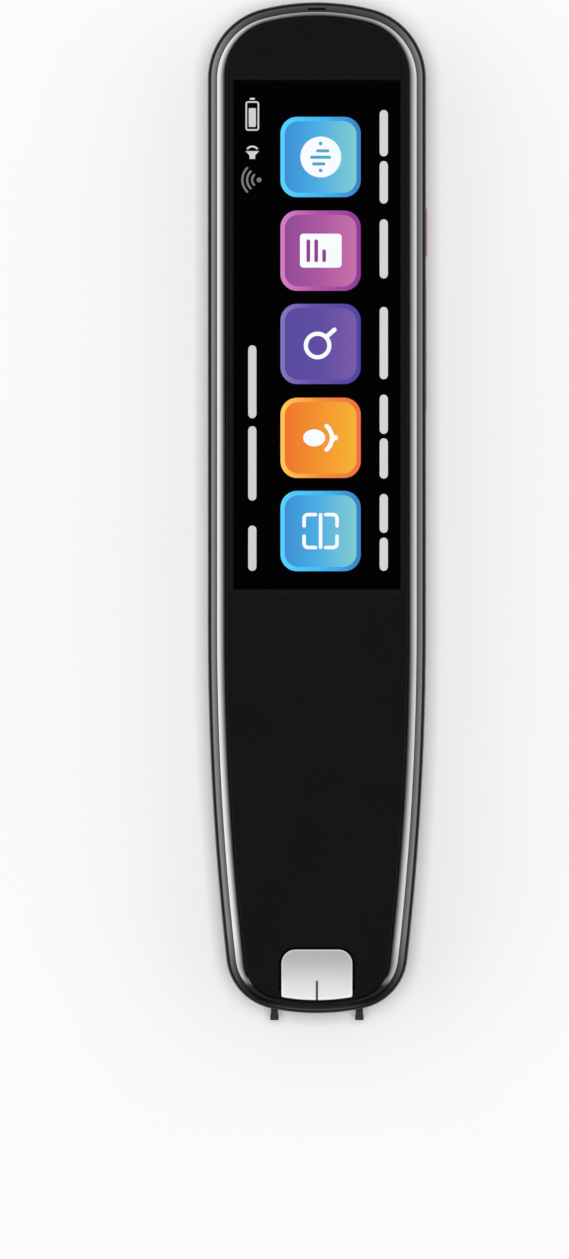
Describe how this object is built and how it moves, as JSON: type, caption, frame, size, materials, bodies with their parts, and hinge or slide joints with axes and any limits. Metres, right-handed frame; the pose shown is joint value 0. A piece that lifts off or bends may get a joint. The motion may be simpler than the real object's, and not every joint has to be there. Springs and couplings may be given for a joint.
{
  "type": "scan translator pen",
  "caption": "Pen-shaped text scanner with a long touch display, a sprung scanning tip, side keys and a charging socket.",
  "frame": {"origin": "centre of the flat back face that the pen lies on", "axes": "+Z out of the display, +Y from the scanning tip to the charging socket, +X to the side with the keys"},
  "size_m": [0.0309, 0.1437, 0.0124],
  "materials": {
    "shell_black": "dark glossy moulding",
    "bezel_bright": "polished plated ring",
    "lens_black": "polished, printed black behind",
    "window_silver": "frosted silver",
    "nib_graphite": "satin",
    "power_red": "satin",
    "rocker_black": "glossy",
    "spring_steel": "drawn wire",
    "screw_black": "blackened",
    "small_steel": "plain",
    "chassis_metal": "cast magnesium look, matte",
    "lcd_glass": "polished",
    "touch_clear": "polished",
    "scan_clear": "polished",
    "camera_glass": "coated",
    "inner_white": "matte",
    "inner_black": "matte",
    "ivory_nylon": "matte",
    "board_green": "solder mask",
    "flex_amber": "film",
    "battery_foil": "foil pouch",
    "lead_red": "sleeve",
    "lead_black": "sleeve",
    "soft_black": "foam and rubber",
    "gold_metal": "plated",
    "tan_plastic": "matte"
  },
  "bodies": {
    "case": {"rear_shell": "shell_black", "bezel_frame": "bezel_bright", "front_lens": "lens_black", "sight_window": "window_silver", "lens_tape": "inner_black", "touch_panel": "touch_clear", "lcd_glass": "lcd_glass", "backlight_unit": "inner_white", "display_flex": "flex_amber", "inner_chassis": "chassis_metal", "nib_spring_left": "spring_steel", "nib_spring_right": "spring_steel", "nib_switch": "inner_black", "head_hood": "inner_black", "scan_glass": "scan_clear", "led_board": "board_green", "led_left": "inner_white", "led_right": "inner_white", "camera_barrel": "inner_black", "camera_lens": "camera_glass", "camera_module": "inner_black", "camera_flex": "flex_amber", "battery_cell": "battery_foil", "battery_pad": "inner_white", "battery_plug": "ivory_nylon", "battery_lead_red": "lead_red", "battery_lead_black": "lead_black", "main_board": "board_green", "processor": "inner_black", "memory_chip": "inner_black", "power_chip": "inner_black", "wireless_shield": "small_steel", "camera_connector": "ivory_nylon", "display_connector": "ivory_nylon", "board_screw_high": "small_steel", "board_screw_low": "small_steel", "mic_left": "gold_metal", "mic_right": "gold_metal", "usb_socket": "small_steel", "usb_tongue": "inner_black", "grille_mesh": "soft_black", "speaker_gasket": "soft_black", "speaker_frame": "inner_black", "speaker_cone": "inner_black", "side_key_board": "board_green", "power_switch": "small_steel", "volume_down_switch": "small_steel", "volume_up_switch": "small_steel", "antenna_strip": "gold_metal", "case_screw_top_right": "screw_black", "case_screw_top_left": "screw_black", "case_screw_tip_right": "screw_black", "case_screw_tip_left": "screw_black"},
    "nib": {"nib_fork": "nib_graphite", "nib_switch_plunger": "tan_plastic"},
    "power_key": {"power_button": "power_red", "power_plunger": "soft_black"},
    "volume_key": {"volume_rocker": "rocker_black", "rocker_plunger_low": "soft_black", "rocker_plunger_high": "soft_black"}
  },
  "joints": [
    {"name": "nib_press", "type": "slide", "parent": "case", "child": "nib", "axis": [0, 1, 0], "range_m": [0, 0.001], "stiffness_N_per_m": 300, "springref_m": -0.001, "deforming": ["nib_spring_left", "nib_spring_right"]},
    {"name": "power_press", "type": "slide", "parent": "case", "child": "power_key", "axis": [-1, 0, 0], "range_m": [0, 0.00025], "stiffness_N_per_m": 2000, "springref_m": -0.0002},
    {"name": "volume_rock", "type": "hinge", "parent": "case", "child": "volume_key", "pos_m": [0.01135, 0.02295, 0.0062], "axis": [0, 0, 1], "range_deg": [-1.4, 1.4], "stiffness_Nm_per_rad": 0.25}
  ]
}
